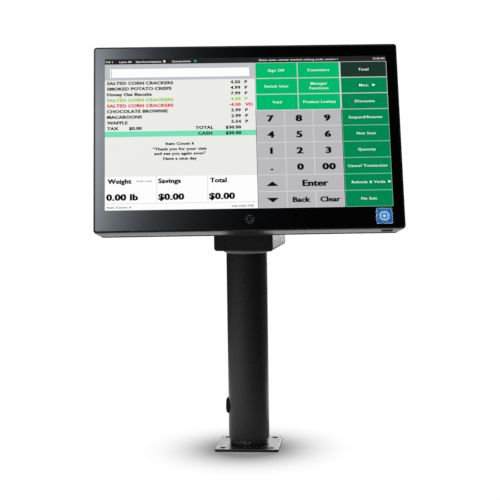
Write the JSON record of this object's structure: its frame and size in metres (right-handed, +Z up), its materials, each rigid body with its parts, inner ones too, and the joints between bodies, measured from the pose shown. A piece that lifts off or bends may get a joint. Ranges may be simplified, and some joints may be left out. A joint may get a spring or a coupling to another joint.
{
  "type": "touch screen payment terminal",
  "caption": "Slim wide touch screen terminal that pans and tilts on a short round steel pole with a square screw-down foot.",
  "frame": {"origin": "on the pole's axis, at the underside of the foot plate", "axes": "+Z up along the pole, -Y out of the bracket box's closed front, towards the operator; +X to the operator's right"},
  "size_m": [0.3413, 0.1493, 0.4488],
  "materials": {
    "black_powder_coat": "fine-grained satin black powder coat",
    "coated_weld": "powder-coated weld bead, glossy on its crests",
    "black_rubber": "matt moulded rubber",
    "white_nylon": "natural nylon",
    "black_steel": "black oxide",
    "bright_steel": "zinc-plated",
    "dark_aluminium": "satin dark grey anodised",
    "black_plastic": "fine spark-eroded texture",
    "black_glass": "polished, with a black printed border",
    "clear_glass": "clear",
    "display_panel": "lit display",
    "green_board": "solder mask",
    "component_plastic": "moulded",
    "bare_aluminium": "extruded"
  },
  "bodies": {
    "stand": {"base_plate": "black_powder_coat", "base_weld": "coated_weld", "pole": "black_powder_coat", "cable_grommet": "black_rubber", "top_weld": "coated_weld", "bracket_box": "black_powder_coat", "box_end_cap": "black_powder_coat", "spindle": "black_powder_coat", "spindle_weld": "coated_weld"},
    "pan_knuckle": {"thrust_washer": "white_nylon", "knuckle": "black_powder_coat", "pan_lock_screw": "black_steel", "tilt_bolt": "black_steel", "tilt_nut": "black_steel", "tilt_washer_left": "bright_steel", "tilt_washer_right": "bright_steel", "friction_washer_left": "white_nylon", "friction_washer_right": "white_nylon"},
    "head": {"tilt_plate": "black_powder_coat", "mount_screw_1": "bright_steel", "mount_screw_2": "bright_steel", "mount_screw_3": "bright_steel", "mount_screw_4": "bright_steel", "front_frame": "dark_aluminium", "rear_shell": "black_plastic", "rear_shell_screw_1": "black_steel", "rear_shell_screw_2": "black_steel", "rear_shell_screw_3": "black_steel", "rear_shell_screw_4": "black_steel", "cover_glass": "black_glass", "touch_sensor": "clear_glass", "lcd_panel": "display_panel", "chassis_plate": "bright_steel", "mainboard": "green_board", "io_board": "green_board", "power_inlet": "component_plastic", "network_port": "bright_steel", "data_port_1": "bright_steel", "data_port_2": "bright_steel", "video_port": "bright_steel", "processor": "component_plastic", "heatsink": "bare_aluminium", "memory_module": "green_board", "storage_module": "green_board", "wireless_card": "green_board", "fan_housing": "component_plastic", "speaker_left": "component_plastic", "speaker_right": "component_plastic", "power_switch": "bright_steel", "button_board": "green_board"},
    "fan_rotor": {"fan_rotor": "component_plastic"},
    "power_button": {"power_button": "black_plastic"}
  },
  "joints": [
    {"name": "head_pan", "type": "hinge", "parent": "stand", "child": "pan_knuckle", "pos_m": [0, 0.014, 0.3056], "axis": [0, 0, 1], "range_deg": [-52, 38]},
    {"name": "head_tilt", "type": "hinge", "parent": "pan_knuckle", "child": "head", "pos_m": [0, 0.014, 0.3285], "axis": [-0.9925, -0.1219, 0], "range_deg": [-7, 23]},
    {"name": "fan_spin", "type": "hinge", "parent": "head", "child": "fan_rotor", "pos_m": [0.06414, 0.0332, 0.35632], "axis": [-0.113, 0.9203, -0.3746], "continuous": true},
    {"name": "power_press", "type": "slide", "parent": "head", "child": "power_button", "axis": [-0.0457, 0.3718, 0.9272], "range_m": [0, 0.0008], "stiffness_N_per_m": 400, "springref_m": -0.001}
  ]
}
